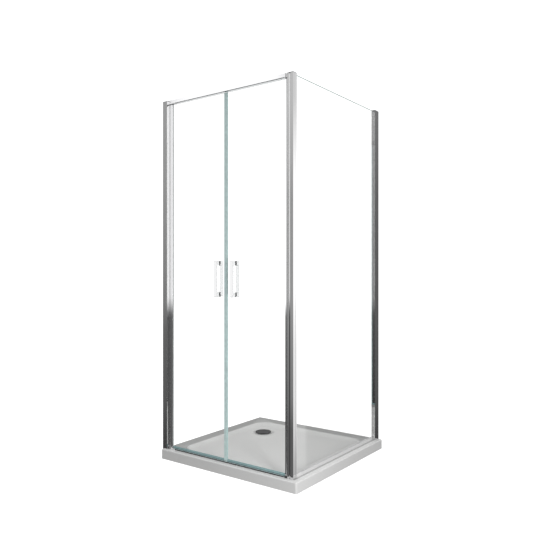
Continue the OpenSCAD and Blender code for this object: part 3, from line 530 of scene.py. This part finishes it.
smoked = bright_metal("smoked_chrome", (0.034, 0.034, 0.036), 0.34, 0.44, (40.0, 40.0, 40.0), 0.01)
cover = bmesh.new()
verts = [cover.verts.new((DRAIN.x + radius, DRAIN.y, z)) for radius, z in COVER_OUTLINE]
edges = [cover.edges.new(pair) for pair in zip(verts, verts[1:])]
bmesh.ops.spin(cover, geom=verts + edges, cent=DRAIN, axis=(0, 0, 1), angle=2 * math.pi, steps=72,
               use_merge=True)
bmesh.ops.remove_doubles(cover, verts=cover.verts, dist=MERGE)
bmesh.ops.recalc_face_normals(cover, faces=cover.faces)
rod(cover, STEM_R, STEM_LENGTH, DRAIN + Vector((0, 0, STEM_MIDDLE)), 24)
for k in range(FEET):
    turn = Matrix.Rotation(2 * math.pi * (k + 0.5) / FEET, 4, "Z")
    foot = turn @ Vector((FOOT_OUT, 0, FOOT_MIDDLE))
    rod(cover, FOOT_R, FOOT_LENGTH, DRAIN + foot, 20)
finish_piece("drain_cover", cover, smoked, "waste_strainer", ("waste_cover",))

# Waste. A plated threaded body that a backnut pulls down on the tray through two rubber rings, and a loose
# plastic cup that catches hair.
plate = bright_metal("bright_chrome", (0.80, 0.80, 0.805), 0.05, 0.10, (30.0, 30.0, 30.0), 0.01)
black_plastic = moulded("black_plastic", (0.035, 0.035, 0.038), 0.35, 0.45)
cup_plastic = moulded("cup_plastic", (0.55, 0.56, 0.57), 0.35, 0.45)
dress("waste_body", plate, "enclosure", edge=0.0004)
dress("waste_gaskets", black_rubber, "enclosure")
dress("waste_nut", black_plastic, "enclosure", edge=0.0005)
dress("waste_cup", cup_plastic, "waste_strainer", edge=0.0003)

# Pivot blocks and bushes. The blocks are cast and chromed, and sit at both ends of the header and of the
# threshold. A nylon bush in each takes the pin of a leaf.
nylon = moulded("grey_nylon", (0.52, 0.52, 0.53), 0.40, 0.50)
for name in ("top_block_left", "top_block_right", "bottom_block_left", "bottom_block_right"):
    dress(name, plate, "enclosure", edge=0.0005)
dress("pivot_bushes", nylon, "enclosure", edge=0.0002)

# Screws of the frame. Bright steel: three hold the jamb to its wall channel, four the header to its blocks,
# and three the side profile to its wall channel.
steel = bright_metal("screw_steel", (0.56, 0.56, 0.57), 0.25, 0.38, (400.0, 400.0, 400.0), 0.02)
for name in ("jamb_screws", "header_screws", "side_profile_screws"):
    dress(name, steel, "enclosure", edge=0.0003)

# End caps. Moulded plugs of grey plastic, pressed into the tops of the hollow bars, so that no cut end of a
# bar shows.
grey_plastic = moulded("grey_plastic", (0.42, 0.42, 0.43), 0.30, 0.42)
for name in ("wall_cap_door", "jamb_cap", "corner_cap", "side_cap", "wall_cap_side"):
    dress(name, grey_plastic, "enclosure", edge=0.0005)

# Glass. Two leaves and the side panel, 6 mm clear toughened float glass with ground and polished edges,
# which look green because light crosses the sheet lengthwise there. The side panel stands in rubber gaskets.
CLEAR = (0.992, 0.999, 0.997)
SIDE_ARRIS = 0.0042


def sheet_glass(name, across, edge_tint, bend, arris_z=None):
    """Float glass, nearly colourless through its faces and tinted at its edges; across is the thin way."""
    material, tree, shader = new_material(name)
    shader.inputs["Transmission Weight"].default_value = 1.0
    shader.inputs["IOR"].default_value = bend
    coordinates = shader_node(tree, "ShaderNodeTexCoord").outputs
    normal = shader_node(tree, "ShaderNodeSeparateXYZ", [(0, coordinates["Normal"])]).outputs
    tint = ramp(tree, calc(tree, "ABSOLUTE", normal[across]), [(0.78, edge_tint), (0.92, CLEAR)])
    if arris_z:
        at = shader_node(tree, "ShaderNodeSeparateXYZ", [(0, coordinates["Object"])]).outputs
        tint = mix(tree, calc(tree, "GREATER_THAN", at["Z"], arris_z), tint, edge_tint)
    tree.links.new(tint, shader.inputs["Base Color"])
    film = noise(tree, coordinates["Object"], 3.0)
    tree.links.new(ramp(tree, film, [(0.4, 0.0), (0.75, 0.002)]), shader.inputs["Roughness"])
    return material


door_glass = sheet_glass("door_glass", "Y", (0.80, 0.92, 0.90), 1.2)
side_glass_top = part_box("side_glass")[1][2]
panel_glass = sheet_glass("panel_glass", "X", (0.10, 0.16, 0.145), 1.45, side_glass_top - SIDE_ARRIS)
panes = [dress(side + "_glass", door_glass, side + "_door", edge=0.0006, segments=1)
         for side in ("left", "right")]
panes.append(dress("side_glass", panel_glass, "enclosure", edge=0.0028, segments=3))
# The panes stop neither diffuse light nor shadow rays, so the tray behind them is lit as through real glass.
for pane in panes:
    pane.visible_diffuse = False
    pane.visible_shadow = False
dress("side_glass_gaskets", black_rubber, "enclosure")

# Leaf seals. Extruded soft vinyl: down each leaf's free edge a milky nose with a magnet strip in it, along
# the foot of the leaf a greenish drip seal, and a clear wedge that holds the glass in the jaw of the stile.
clear_wedge = moulded("clear_glazing_wedge", (0.84, 0.86, 0.86), 0.30, 0.40)
# The milky vinyl's faint emission is painted light, which lifts the shaded side of each seal nose.
milky_vinyl_painted_glow = moulded("milky_vinyl_painted_glow", (0.62, 0.78, 0.77), 0.28, 0.38, scale=60.0,
                      Emission_Color=(0.60, 0.74, 0.72, 1.0), Emission_Strength=0.08)
tinted_vinyl = moulded("tinted_vinyl", (0.34, 0.52, 0.53), 0.28, 0.38, scale=60.0)
magnet_strip = moulded("magnet_strip", (0.10, 0.13, 0.125), 0.5, 0.6)
for side in ("left", "right"):
    body = side + "_door"
    dress(side + "_magnet_seal", milky_vinyl_painted_glow, body, edge=0.0004)
    dress(side + "_bottom_seal", tinted_vinyl, body, edge=0.0003)
    dress(side + "_magnet", magnet_strip, body)
    dress(side + "_glass_gasket", clear_wedge, body)

# Stile caps and pins. Moulded grey caps close each stile above and below, and a steel pin through each one
# turns in its bush.
for side in ("left", "right"):
    body = side + "_door"
    dress(side + "_profile_caps", grey_plastic, body, edge=0.0002)
    dress(side + "_pivot_pins", steel, body, edge=0.0004)

# Handles. Flat chromed grip frames inside and out, clamped through the glass by two steel studs, with dark
# plastic washers between the metal and the glass.
handle_chrome = bright_metal("handle_chrome", (0.70, 0.70, 0.705), 0.012, 0.03, (30.0, 30.0, 30.0), 0.001)
washer_plastic = moulded("washer_plastic", (0.13, 0.13, 0.135), 0.35, 0.45)
for side in ("left", "right"):
    body = side + "_door"
    dress(side + "_handle_outer", handle_chrome, body, edge=0.0021, segments=4)
    dress(side + "_handle_inner", handle_chrome, body, edge=0.0021, segments=4)
    dress(side + "_handle_washers", washer_plastic, body, edge=0.0004)
    dress(side + "_handle_studs", steel, body, edge=0.0003)
